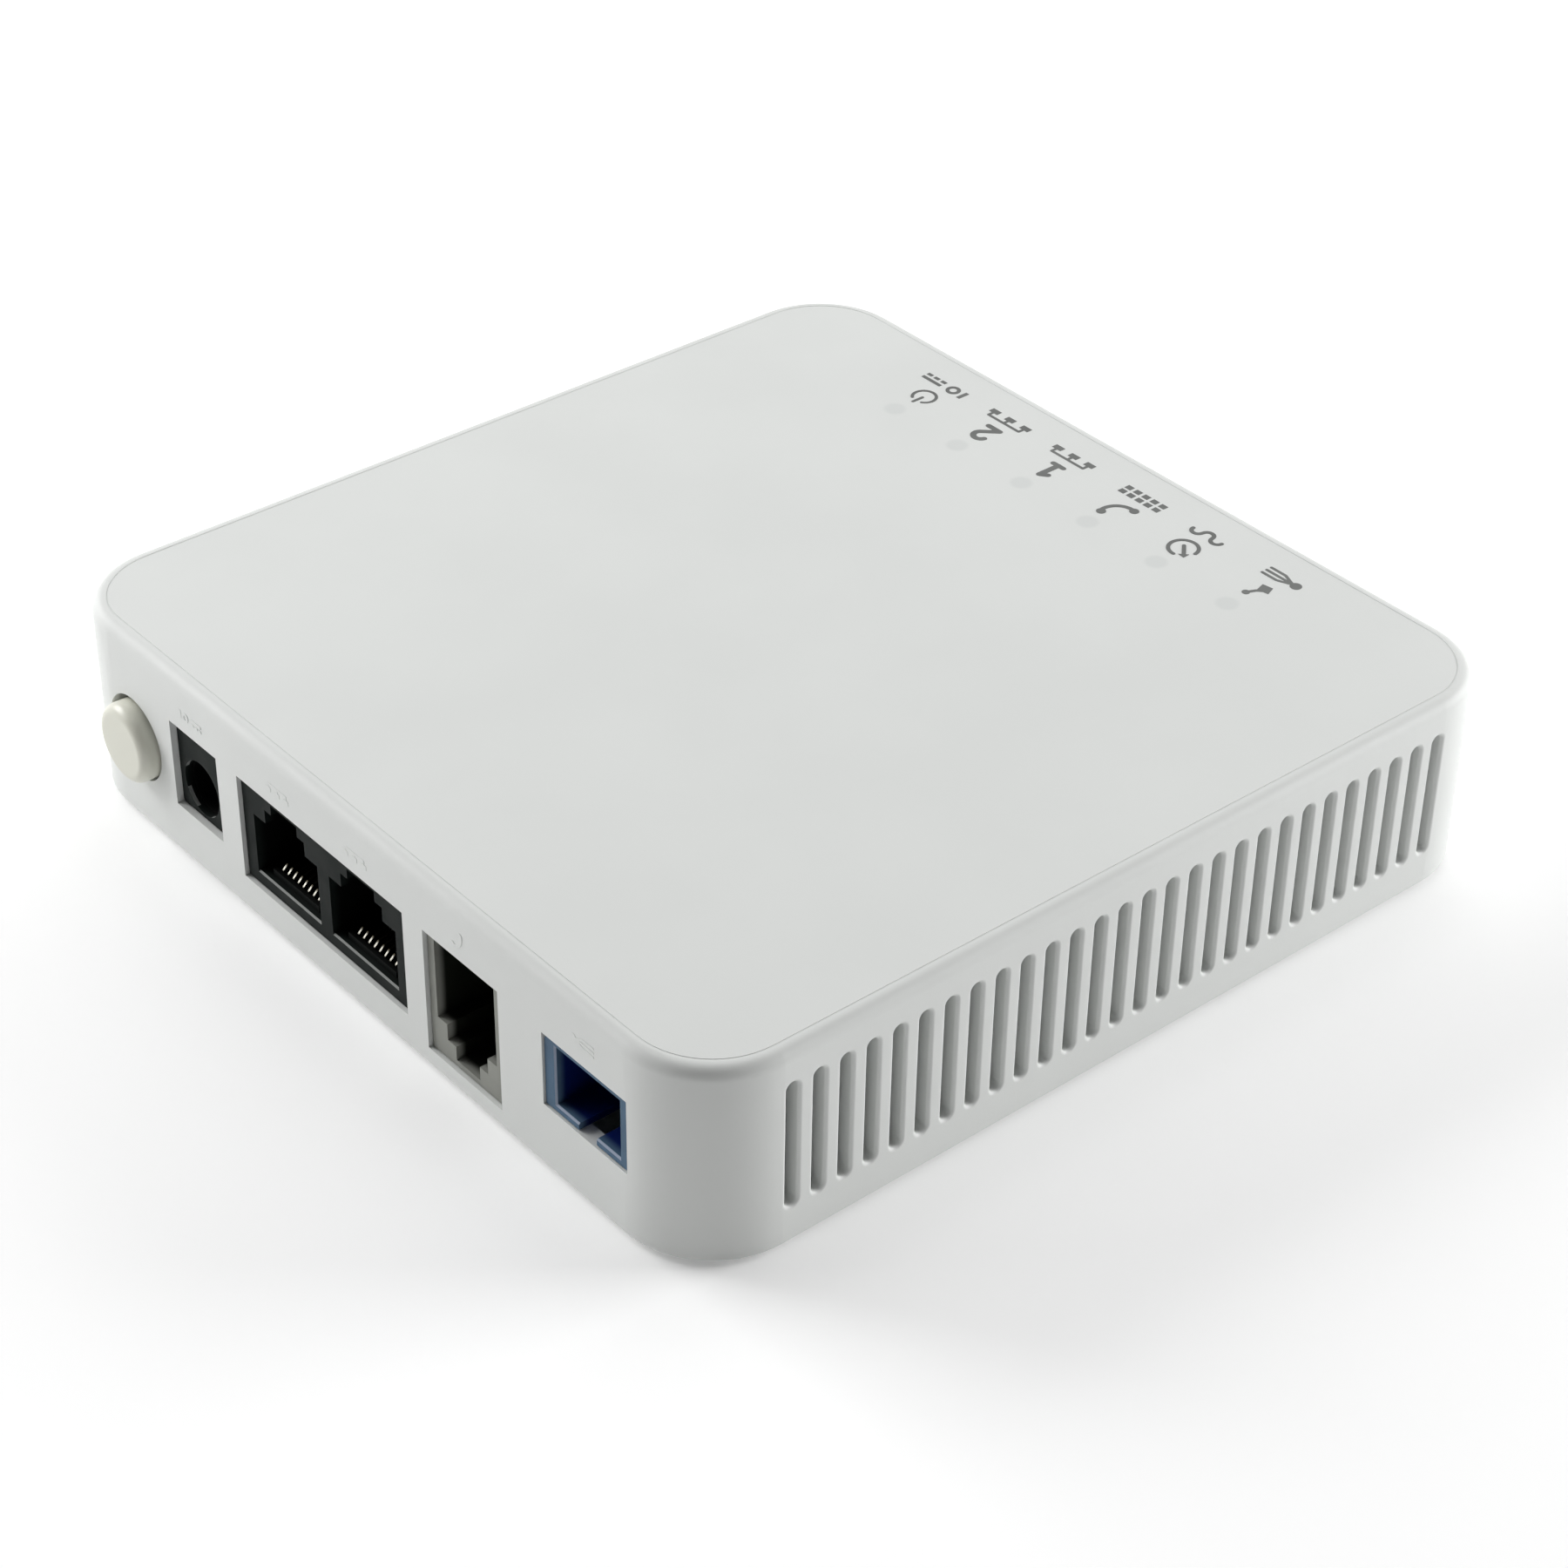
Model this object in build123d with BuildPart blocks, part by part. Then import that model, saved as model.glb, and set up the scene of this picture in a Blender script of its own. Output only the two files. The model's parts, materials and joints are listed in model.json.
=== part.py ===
from build123d import *
import os

# Optical network terminal: a low square case with its connectors along the -Y side.
# Origin at the centre of the footprint, on the plane the feet stand on. Millimetres.

# case
case_side = 120.0
case_height = 25.4
corner_radius = 11.4
wall = 2.0
top_round = 1.5
bottom_round = 0.5
rim_inset = 1.72  # the fine line round the top, inside the rounded edge
rim_line_width = 0.2
rim_line_depth = 0.05
foot_proud = 0.6  # how far the feet lift the case

# side vents
slot_count = 28
slot_pitch = 3.527
slot_width = 1.55
slot_length = 16.4
slot_middle = 12.95  # height above the case bottom
slot_shift = 0.12  # of the whole row, along Y
slot_round = 0.45  # rounding of each slot's outer edge

# cut-outs of the connector side: (left, right, bottom, top), heights above the case bottom
dc_cutout = (-36.0, -26.2, 6.9, 18.6)
lan_cutout = (-21.96, 10.24, 4.62, 18.6)
phone_cutout = (13.96, 27.35, 2.46, 18.6)
fibre_cutout = (34.93, 48.99, 8.5, 18.1)

# push button
button_x = -44.2
button_height = 11.5
button_radius = 5.0
button_hole_x = -44.3
button_hole_height = 11.7  # the cap hangs a little low in its hole
button_hole_radius = 5.5
button_proud = 2.2
button_edge = 1.2  # rounding of the cap's front edge
button_travel = 2.0
lug_reach = 6.4  # the two lugs that keep the cap in its hole
lug_width = 5.0
stem_side = 4.0

# circuit board, which hangs high in the case with its connectors underneath
board_height = 18.45  # its underside, above the case bottom
board_thickness = 1.6
board_half_x = 56.0
board_front = -56.0
board_back = 56.0
board_notch = 10.5
board_posts = [(-50, 30), (50, 30), (-52, -28), (52, -30)]
board_post_radius = 3.0
board_screw_radius = 1.0

# base
base_thickness = 2.0
base_gap = 0.2
base_screw_at = 52.8
base_screw_radius = 1.15
base_boss_radius = 3.0
screw_head_radius = 2.4
screw_head_height = 1.2
foot_at = 40.0
foot_radius = 5.0
foot_recess = 0.8
keyhole_spacing = 80.0
keyhole_y = -12.0
keyhole_entry_radius = 4.0
keyhole_slot_radius = 2.1
keyhole_run = 7.0
label_size = (54.0, 30.0)
label_y = 24.0
label_thickness = 0.15
label_recess = 0.2
plug_posts = [(-24.2, -46), (31.1, -46)]  # take the push of the plugs, between the connectors

# status lights
light_pitch = 11.76
light_row = [(0.42 + light_pitch * (i - 2.5), 44.1) for i in range(6)]
light_web = 0.6  # roof left over each light
light_radius = 1.5

# connector faces, as depths behind the outer wall
dc_recess = 0.8
lan_recess = 0.5
phone_recess = 0.5
fibre_recess = 0.25

# worked out from the above
half = case_side / 2
floor_z = foot_proud
roof_z = floor_z + case_height
roof_under = roof_z - wall
base_top = floor_z + base_thickness
board_z = floor_z + board_height
board_top = board_z + board_thickness
button_z = floor_z + button_height
inner_half = half - wall
fit_gap = 0.15  # round a connector in its cut-out

os.makedirs("parts", exist_ok=True)


def block(x, y, z, mode=Mode.ADD):
    """A box between a low and a high limit on each axis."""
    middle = [(limits[0] + limits[1]) / 2 for limits in (x, y, z)]
    size = [limits[1] - limits[0] for limits in (x, y, z)]
    with Locations(tuple(middle)):
        Box(*size, mode=mode)


def inside(cutout):
    """Limits along X and Z of a connector that passes through a cut-out."""
    left, right, bottom, top = cutout
    return (left + fit_gap, right - fit_gap), (floor_z + bottom + fit_gap, floor_z + top - fit_gap)


def under_board(places, size):
    """Equal boxes soldered under the board, at (x, y) places."""
    for x, y in places:
        with Locations((x, y, board_z - size[2] / 2)):
            Box(*size)


def front_plane(y):
    """A plane across the case at y, seen from the connector side: X to the right, Z up."""
    return Plane.XZ.offset(-y)


# ---------------------------------------------------------------- housing
with BuildPart() as housing:
    with BuildSketch(Plane.XY.offset(floor_z)):
        RectangleRounded(case_side, case_side, corner_radius)
    extrude(amount=case_height)
    fillet(housing.faces().sort_by(Axis.Z)[-1].edges(), top_round)
    fillet(housing.faces().sort_by(Axis.Z)[0].edges(), bottom_round)
    # hollow, open underneath
    with BuildSketch(Plane.XY.offset(floor_z)):
        RectangleRounded(2 * inner_half, 2 * inner_half, corner_radius - wall)
    extrude(amount=case_height - wall, mode=Mode.SUBTRACT)
    # fine line round the flat of the top
    with BuildSketch(Plane.XY.offset(roof_z)):
        line_side = case_side - 2 * rim_inset
        line_corner = corner_radius - rim_inset
        RectangleRounded(line_side, line_side, line_corner)
        inner_side = line_side - 2 * rim_line_width
        RectangleRounded(inner_side, inner_side, line_corner - rim_line_width, mode=Mode.SUBTRACT)
    extrude(amount=-rim_line_depth, mode=Mode.SUBTRACT)
    # vents through both side walls
    with BuildSketch(Plane.YZ.offset(half + 1)):
        with Locations((slot_shift, floor_z + slot_middle)):
            with GridLocations(slot_pitch, 1, slot_count, 1):
                SlotOverall(slot_length, slot_width, rotation=90)
    extrude(amount=-(case_side + 2), mode=Mode.SUBTRACT)
    walls_by_x = housing.faces().sort_by(Axis.X)
    mouths = walls_by_x[0].inner_wires() + walls_by_x[-1].inner_wires()
    fillet([edge for mouth in mouths for edge in mouth.edges()], slot_round)
    # connector cut-outs and the button's hole
    for left, right, bottom, top in (dc_cutout, lan_cutout, phone_cutout, fibre_cutout):
        block(
            (left, right),
            (-half - 1, -inner_half + 0.5),
            (floor_z + bottom, floor_z + top),
            mode=Mode.SUBTRACT,
        )
    with BuildSketch(front_plane(-half - 1)):
        with Locations((button_hole_x, floor_z + button_hole_height)):
            Circle(button_hole_radius)
    extrude(amount=-(wall + 1.5), mode=Mode.SUBTRACT)
    # corner bosses for the base screws
    with BuildSketch(Plane.XY.offset(base_top)):
        with GridLocations(2 * base_screw_at, 2 * base_screw_at, 2, 2):
            Circle(base_boss_radius)
    extrude(amount=roof_under - base_top)
    with BuildSketch(Plane.XY.offset(base_top)):
        with GridLocations(2 * base_screw_at, 2 * base_screw_at, 2, 2):
            Circle(base_screw_radius)
    extrude(amount=12, mode=Mode.SUBTRACT)
    # short posts that the board is screwed up to
    with BuildSketch(Plane.XY.offset(board_top)):
        with Locations(board_posts):
            Circle(board_post_radius)
    extrude(amount=roof_under - board_top)
    with BuildSketch(Plane.XY.offset(board_top)):
        with Locations(board_posts):
            Circle(board_screw_radius)
    extrude(amount=3.8, mode=Mode.SUBTRACT)
    # thin spots over the status lights
    with BuildSketch(Plane.XY.offset(roof_under)):
        with Locations(light_row):
            Circle(light_radius)
    extrude(amount=wall - light_web, mode=Mode.SUBTRACT)
housing.part.label = "housing"

# ---------------------------------------------------------------- base
with BuildPart() as base_plate:
    with BuildSketch(Plane.XY.offset(floor_z)):
        base_side = 2 * (inner_half - base_gap)
        RectangleRounded(base_side, base_side, corner_radius - wall - base_gap)
        # keyholes: the screw head enters the round end, and the plate slides down onto the shank
        with Locations((-keyhole_spacing / 2, keyhole_y), (keyhole_spacing / 2, keyhole_y)):
            Circle(keyhole_entry_radius, mode=Mode.SUBTRACT)
        with Locations(
            (-keyhole_spacing / 2, keyhole_y + keyhole_run / 2),
            (keyhole_spacing / 2, keyhole_y + keyhole_run / 2),
        ):
            SlotCenterToCenter(keyhole_run, 2 * keyhole_slot_radius, rotation=90, mode=Mode.SUBTRACT)
        # intake vents
        with Locations((0, -38), (0, -26)):
            with GridLocations(5, 1, 11, 1):
                SlotOverall(9, 1.8, rotation=90, mode=Mode.SUBTRACT)
    extrude(amount=base_thickness)
    with BuildSketch(Plane.XY.offset(floor_z)):
        with GridLocations(2 * base_screw_at, 2 * base_screw_at, 2, 2):
            Circle(base_screw_radius + 0.15)
    extrude(amount=base_thickness, mode=Mode.SUBTRACT)
    with BuildSketch(Plane.XY.offset(floor_z)):
        with GridLocations(2 * base_screw_at, 2 * base_screw_at, 2, 2):
            Circle(screw_head_radius + 0.2)
    extrude(amount=screw_head_height, mode=Mode.SUBTRACT)
    with BuildSketch(Plane.XY.offset(floor_z)):
        with GridLocations(2 * foot_at, 2 * foot_at, 2, 2):
            Circle(foot_radius + 0.2)
    extrude(amount=foot_recess, mode=Mode.SUBTRACT)
    with BuildSketch(Plane.XY.offset(floor_z)):
        with Locations((0, label_y)):
            RectangleRounded(label_size[0] + 0.6, label_size[1] + 0.6, 1.5)
    extrude(amount=label_recess, mode=Mode.SUBTRACT)
    with BuildSketch(Plane.XY.offset(base_top)):
        with Locations(plug_posts):
            Circle(2.0)
    extrude(amount=board_z - base_top - 0.1)
base_plate.part.label = "base_plate"

with BuildPart() as rubber_feet:
    with BuildSketch(Plane.XY):
        with GridLocations(2 * foot_at, 2 * foot_at, 2, 2):
            Circle(foot_radius)
    extrude(amount=foot_proud + foot_recess)
    fillet(rubber_feet.edges().group_by(Axis.Z)[0], 0.3)
rubber_feet.part.label = "rubber_feet"

with BuildPart() as base_screws:
    with BuildSketch(Plane.XY.offset(floor_z)):
        with GridLocations(2 * base_screw_at, 2 * base_screw_at, 2, 2):
            Circle(screw_head_radius)
    extrude(amount=screw_head_height)
    # cross recess
    with BuildSketch(Plane.XY.offset(floor_z)):
        with GridLocations(2 * base_screw_at, 2 * base_screw_at, 2, 2):
            Rectangle(2.6, 0.6)
            Rectangle(0.6, 2.6)
    extrude(amount=0.7, mode=Mode.SUBTRACT)
    with BuildSketch(Plane.XY.offset(floor_z + screw_head_height)):
        with GridLocations(2 * base_screw_at, 2 * base_screw_at, 2, 2):
            Circle(base_screw_radius - 0.05)
    extrude(amount=10)
base_screws.part.label = "base_screws"

with BuildPart() as rating_label:
    with BuildSketch(Plane.XY.offset(floor_z + label_recess - label_thickness)):
        with Locations((0, label_y)):
            RectangleRounded(*label_size, 1.2)
    extrude(amount=label_thickness)
rating_label.part.label = "rating_label"

# ---------------------------------------------------------------- circuit board
with BuildPart() as circuit_board:
    block((-board_half_x, board_half_x), (board_front, board_back), (board_z, board_top))
    for corner_x in (-board_half_x, board_half_x):
        for corner_y in (board_front, board_back):
            with Locations((corner_x, corner_y, board_z)):
                Box(2 * board_notch, 2 * board_notch, 4, mode=Mode.SUBTRACT)
    fillet(circuit_board.edges().filter_by(Axis.Z), 1.0)
    with BuildSketch(Plane.XY.offset(board_z)):
        with Locations(board_posts):
            Circle(board_screw_radius + 0.3)
    extrude(amount=board_thickness, mode=Mode.SUBTRACT)
circuit_board.part.label = "circuit_board"

with BuildPart() as board_screws:
    with BuildSketch(Plane.XY.offset(board_z - screw_head_height)):
        with Locations(board_posts):
            Circle(screw_head_radius - 0.2)
    extrude(amount=screw_head_height)
    with BuildSketch(Plane.XY.offset(board_z)):
        with Locations(board_posts):
            Circle(board_screw_radius - 0.05)
    extrude(amount=board_thickness + 3.4)
board_screws.part.label = "board_screws"

# ---------------------------------------------------------------- barrel power jack
dc_x, dc_z = inside(dc_cutout)
dc_face = -half + dc_recess
dc_middle = (dc_x[0] + dc_x[1]) / 2
dc_hole_x = dc_middle - 0.25
dc_hole_z = floor_z + 11.15
dc_bore_radius = 3.3
dc_mouth_radius = 3.55
dc_pin_setback = 1.8  # from the face to the tip of the pin
dc_depth = 14.0
with BuildPart() as dc_jack_housing:
    block(dc_x, (dc_face, dc_face + dc_depth), (dc_z[0], board_z))
    fillet(dc_jack_housing.edges().filter_by(Axis.Y).group_by(Axis.Z)[0], 0.4)
    with BuildSketch(front_plane(dc_face)):
        with Locations((dc_hole_x, dc_hole_z)):
            Circle(dc_bore_radius)
    extrude(amount=-(dc_depth - 2), mode=Mode.SUBTRACT)
    with BuildSketch(front_plane(dc_face)):
        with Locations((dc_hole_x, dc_hole_z)):
            Circle(dc_mouth_radius)
    extrude(amount=-1.0, mode=Mode.SUBTRACT)
    # way in for the side contact
    block(
        (dc_hole_x - 1.2, dc_hole_x + 1.2),
        (dc_face + 6, dc_face + 12),
        (dc_hole_z + 2.5, board_z),
        mode=Mode.SUBTRACT,
    )
dc_jack_housing.part.label = "dc_jack_housing"

with BuildPart() as dc_jack_pin:
    with BuildSketch(front_plane(dc_face + dc_depth - 2)):
        with Locations((dc_hole_x, dc_hole_z)):
            Circle(1.05)
    extrude(amount=dc_depth - 2 - dc_pin_setback)
    fillet(dc_jack_pin.edges().group_by(Axis.Y)[0], 0.5)
dc_jack_pin.part.label = "dc_jack_pin"

with BuildPart() as dc_jack_spring:
    with BuildSketch(Plane.YZ.offset(dc_hole_x - 1.0)):
        with BuildLine():
            Polyline(
                (dc_face + 11.6, board_z),
                (dc_face + 11.6, dc_hole_z + 3.4),
                (dc_face + 8.6, dc_hole_z + 2.6),
                (dc_face + 6.4, dc_hole_z + 3.6),
                (dc_face + 6.4, dc_hole_z + 3.9),
                (dc_face + 8.6, dc_hole_z + 2.95),
                (dc_face + 11.25, dc_hole_z + 3.7),
                (dc_face + 11.25, board_z),
                close=True,
            )
        make_face()
    extrude(amount=2.0)
dc_jack_spring.part.label = "dc_jack_spring"

# ---------------------------------------------------------------- double LAN jack
lan_x, lan_z = inside(lan_cutout)
lan_face = -half + lan_recess
lan_middle = (lan_x[0] + lan_x[1]) / 2
lan_ports = (lan_middle - 7.5, lan_middle + 7.5)
lan_depth = 16.0
lan_cavity = 12.5
lan_sill = floor_z + 6.5
lan_head = floor_z + 14.4
lan_lip = 0.2  # bevel along the bottom of each mouth
wire_pitch = 1.02
wire_side = 0.24

with BuildPart() as lan_jack_housing:
    block(lan_x, (lan_face, lan_face + lan_depth), (lan_z[0], board_z))
    for port in lan_ports:
        # the plug's width, then two steps up for its latch
        with BuildSketch(front_plane(lan_face)):
            for half_width, step in ((6.35, 0), (3.95, 1.85), (2.6, 3.2)):
                with Locations((port, (lan_sill + lan_head + step) / 2)):
                    Rectangle(2 * half_width, lan_head + step - lan_sill)
        extrude(amount=-lan_cavity, mode=Mode.SUBTRACT)
    lips = lan_jack_housing.edges().filter_by(Axis.X).filter_by_position(
        Axis.Y, lan_face - 0.01, lan_face + 0.01
    )
    chamfer(lips.filter_by_position(Axis.Z, lan_sill - 0.01, lan_sill + 0.01), lan_lip)
    for port in lan_ports:
        # channel that the wires spring up from, and the bar in front of it
        block(
            (port - 4.2, port + 4.2),
            (lan_face + 1.45, lan_face + 4.2),
            (lan_sill - 0.9, lan_sill),
            mode=Mode.SUBTRACT,
        )
        block(
            (port - 4.6, port + 4.6),
            (lan_face + 0.9, lan_face + 1.45),
            (lan_sill - 0.1, lan_sill + 0.8),
        )
lan_jack_housing.part.label = "lan_jack_housing"

with BuildPart() as lan_jack_contacts:
    for port in lan_ports:
        for i in range(8):
            wire_x = port + wire_pitch * (i - 3.5)
            with BuildSketch(Plane.YZ.offset(wire_x - wire_side / 2)):
                with BuildLine():
                    Polyline(
                        (lan_face + 4.0, lan_sill - 0.9),
                        (lan_face + 1.6, lan_sill - 0.9),
                        (lan_face + 1.5, lan_sill - 0.8),
                        (lan_face + 1.5, lan_sill + 0.85),
                        (lan_face + 2.15, lan_sill + 1.5),
                        (lan_face + 9.6, lan_sill + 3.4),
                        (lan_face + 9.7, lan_sill + 3.1),
                        (lan_face + 2.3, lan_sill + 1.2),
                        (lan_face + 1.8, lan_sill + 0.7),
                        (lan_face + 1.8, lan_sill - 0.6),
                        (lan_face + 4.0, lan_sill - 0.6),
                        close=True,
                    )
                make_face()
            extrude(amount=wire_side)
lan_jack_contacts.part.label = "lan_jack_contacts"

# ---------------------------------------------------------------- phone jack
phone_x, phone_z = inside(phone_cutout)
phone_face = -half + phone_recess
phone_middle = (phone_x[0] + phone_x[1]) / 2
phone_depth = 16.0
phone_cavity = 13.0
phone_sill = floor_z + 7.35
phone_head = floor_z + 17.85
with BuildPart() as phone_jack_housing:
    block(phone_x, (phone_face, phone_face + phone_depth), (phone_z[0], board_z))
    # the plug's width, then two steps down for its latch
    with BuildSketch(front_plane(phone_face)):
        for half_width, sill in ((5.35, 0), (3.65, 2.15), (2.15, 4.0)):
            with Locations((phone_middle, (phone_sill - sill + phone_head) / 2)):
                Rectangle(2 * half_width, phone_head - phone_sill + sill)
    extrude(amount=-phone_cavity, mode=Mode.SUBTRACT)
phone_jack_housing.part.label = "phone_jack_housing"

with BuildPart() as phone_jack_contacts:
    for i in range(4):
        wire_x = phone_middle + wire_pitch * (i - 1.5)
        with BuildSketch(Plane.YZ.offset(wire_x - wire_side / 2)):
            with BuildLine():
                Polyline(
                    (phone_face + 3.0, phone_head),
                    (phone_face + 3.0, phone_head - 0.4),
                    (phone_face + 10.4, phone_head - 3.6),
                    (phone_face + 10.6, phone_head - 3.2),
                    (phone_face + 3.9, phone_head),
                    close=True,
                )
            make_face()
        extrude(amount=wire_side)
phone_jack_contacts.part.label = "phone_jack_contacts"

# ---------------------------------------------------------------- fibre receptacle and optics
fibre_x, fibre_z = inside(fibre_cutout)
fibre_face = -half + fibre_recess
fibre_middle = 42.15
fibre_mouth_x = (36.85, 47.5)
fibre_mouth_z = (floor_z + 9.5, floor_z + 17.15)
fibre_axis_z = sum(fibre_mouth_z) / 2
fibre_cavity = 11.5
fibre_depth = 13.5
key_half_width = 1.5
fibre_bevel = 0.2
with BuildPart() as fibre_receptacle:
    block(fibre_x, (fibre_face, fibre_face + fibre_depth), fibre_z)
    fillet(fibre_receptacle.edges().filter_by(Axis.Y).group_by(Axis.Z)[-1], 0.9)
    # pad that seats it against the board, behind the wall
    block(
        (fibre_x[0] + 1, fibre_x[1] - 1),
        (-inner_half + 0.5, fibre_face + fibre_depth),
        (fibre_z[1] - 1, board_z),
    )
    block(fibre_mouth_x, (fibre_face, fibre_face + fibre_cavity), fibre_mouth_z, mode=Mode.SUBTRACT)
    mouth = fibre_receptacle.faces().sort_by(Axis.Y)[0].inner_wires()[0]
    chamfer(mouth.edges(), fibre_bevel)
    # key slot through the floor of the mouth
    block(
        (fibre_middle - key_half_width, fibre_middle + key_half_width),
        (fibre_face, fibre_face + 6.5),
        (fibre_z[0], fibre_mouth_z[0]),
        mode=Mode.SUBTRACT,
    )
    # tube that carries the sleeve
    with BuildSketch(front_plane(fibre_face + fibre_depth)):
        with Locations((fibre_middle, fibre_axis_z)):
            Circle(2.5)
    extrude(amount=7.0)
    with BuildSketch(front_plane(fibre_face + fibre_depth)):
        with Locations((fibre_middle, fibre_axis_z)):
            Circle(1.65)
    extrude(amount=7.0, mode=Mode.SUBTRACT)
fibre_receptacle.part.label = "fibre_receptacle"

with BuildPart() as fibre_sleeve:
    with BuildSketch(front_plane(fibre_face + fibre_depth)):
        with Locations((fibre_middle, fibre_axis_z)):
            Circle(1.62)
            Circle(1.26, mode=Mode.SUBTRACT)
    extrude(amount=6.8)
fibre_sleeve.part.label = "fibre_sleeve"

module_front = fibre_face + fibre_depth
module_depth = 12.0
module_half = 4.2
with BuildPart() as optical_module:
    block(
        (fibre_middle - module_half, fibre_middle + module_half),
        (module_front, module_front + module_depth),
        (fibre_axis_z - module_half, fibre_axis_z + module_half),
    )
    chamfer(optical_module.edges().filter_by(Axis.Y), 0.8)
optical_module.part.label = "optical_module"

can_radius = 2.8
with BuildPart() as laser_can:
    with BuildSketch(front_plane(module_front + module_depth)):
        with Locations((fibre_middle, fibre_axis_z)):
            Circle(can_radius)
    extrude(amount=-3.2)
    with BuildSketch(front_plane(module_front + module_depth + 3.2)):
        with Locations((fibre_middle, fibre_axis_z)):
            with PolarLocations(1.3, 4):
                Circle(0.22)
    extrude(amount=-4.0)
laser_can.part.label = "laser_can"

with BuildPart() as photodiode_can:
    with BuildSketch(Plane.YZ.offset(fibre_middle - module_half)):
        with Locations((module_front + module_depth / 2, fibre_axis_z)):
            Circle(can_radius)
    extrude(amount=-3.0)
    with BuildSketch(Plane.YZ.offset(fibre_middle - module_half - 3.0)):
        with Locations((module_front + module_depth / 2, fibre_axis_z)):
            with PolarLocations(1.3, 4):
                Circle(0.22)
    extrude(amount=-3.0)
photodiode_can.part.label = "photodiode_can"

shield_at = (28.0, -12.0)
shield_size = (16.0, 13.0, 2.6)
with BuildPart() as laser_shield:
    under_board([shield_at], shield_size)
    fillet(laser_shield.faces().sort_by(Axis.Z)[0].edges(), 0.4)
    block(
        (shield_at[0] - shield_size[0] / 2 + 0.25, shield_at[0] + shield_size[0] / 2 - 0.25),
        (shield_at[1] - shield_size[1] / 2 + 0.25, shield_at[1] + shield_size[1] / 2 - 0.25),
        (board_z - shield_size[2] + 0.25, board_z),
        mode=Mode.SUBTRACT,
    )
laser_shield.part.label = "laser_shield"

with BuildPart() as laser_driver:
    under_board([shield_at], (5.0, 5.0, 0.9))
laser_driver.part.label = "laser_driver"

# ---------------------------------------------------------------- power button and switch
cap_front = -half - button_proud
cap_back = -inner_half + 3.5
lug_front = -inner_half + 0.1
switch_front = cap_back + button_travel + 0.9
switch_back = switch_front + 16.0
switch_half_width = 5.5
head_side = 4.8
head_front = switch_front + 1.1
head_back = head_front + 4.0
chamber_back = head_back + 6.6
with BuildPart() as power_button:
    with BuildSketch(front_plane(cap_front)):
        with Locations((button_x, button_z)):
            Circle(button_radius)
    extrude(amount=-(lug_front + 1.0 - cap_front))
    fillet(power_button.faces().sort_by(Axis.Y)[0].edges(), button_edge)
    with BuildSketch(front_plane(lug_front)):
        with Locations((button_x, button_z)):
            Rectangle(lug_width, 2 * lug_reach)
    extrude(amount=-1.0)
    # hollow behind, with a socket for the plunger
    with BuildSketch(front_plane(lug_front + 1.0)):
        with Locations((button_x, button_z)):
            Circle(button_radius - 1.2)
    extrude(amount=lug_front + 1.0 - cap_front - 1.4, mode=Mode.SUBTRACT)
    with BuildSketch(front_plane(cap_back)):
        with Locations((button_x, button_z)):
            Circle(3.6)
    extrude(amount=cap_back - cap_front - 1.4)
    with BuildSketch(front_plane(cap_back)):
        with Locations((button_x, button_z)):
            Rectangle(stem_side, stem_side)
    extrude(amount=5.0, mode=Mode.SUBTRACT)
power_button.part.label = "power_button"

with BuildPart() as switch_plunger:
    with BuildSketch(front_plane(head_front)):
        with Locations((button_x, button_z)):
            Rectangle(stem_side, stem_side)
    extrude(amount=head_front - cap_back + 5.0)
    with BuildSketch(front_plane(head_front)):
        with Locations((button_x, button_z)):
            Rectangle(head_side, head_side)
    extrude(amount=-(head_back - head_front))
switch_plunger.part.label = "switch_plunger"

with BuildPart() as switch_body:
    block(
        (button_x - switch_half_width, button_x + switch_half_width),
        (switch_front, switch_back),
        (2 * button_z - board_z, board_z),
    )
    chamfer(switch_body.edges().filter_by(Axis.Y).group_by(Axis.Z)[0], 0.6)
    with BuildSketch(front_plane(switch_front)):
        with Locations((button_x, button_z)):
            Rectangle(stem_side + 0.3, stem_side + 0.3)
    extrude(amount=-1.0, mode=Mode.SUBTRACT)
    with BuildSketch(front_plane(switch_front + 1.0)):
        with Locations((button_x, button_z)):
            Rectangle(head_side + 0.3, head_side + 0.3)
    extrude(amount=-(chamber_back - switch_front - 1.0), mode=Mode.SUBTRACT)
switch_body.part.label = "switch_body"

wire_radius = 0.22
spring_length = chamber_back - head_back - 2 * wire_radius - 0.1
with BuildPart() as switch_spring:
    with BuildLine() as coil:
        Helix(
            pitch=spring_length / 5,
            height=spring_length,
            radius=1.7,
            center=(button_x, head_back + wire_radius + 0.05, button_z),
            direction=(0, 1, 0),
        )
    with BuildSketch(Plane(coil.line @ 0, z_dir=coil.line % 0)):
        Circle(wire_radius)
    sweep(path=coil.line)
switch_spring.part.label = "switch_spring"

# ---------------------------------------------------------------- status lights
with BuildPart() as status_leds:
    for x, y in light_row:
        with Locations((x, y, board_top + 0.4)):
            Box(2.0, 1.25, 0.8)
status_leds.part.label = "status_leds"

with BuildPart() as light_guides:
    with BuildSketch(Plane.XY.offset(board_top + 0.9)):
        with Locations(light_row):
            Circle(light_radius - 0.05)
    extrude(amount=roof_z - light_web - board_top - 0.95)
light_guides.part.label = "light_guides"

with BuildPart() as light_baffle:
    with BuildSketch(Plane.XY.offset(board_top)):
        with Locations((light_row[0][0] / 2 + light_row[5][0] / 2, light_row[0][1])):
            RectangleRounded(5 * light_pitch + 7, 6, 1.0)
        with Locations(light_row):
            Circle(light_radius + 0.1, mode=Mode.SUBTRACT)
    extrude(amount=roof_under - board_top - 0.05)
light_baffle.part.label = "light_baffle"

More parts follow.
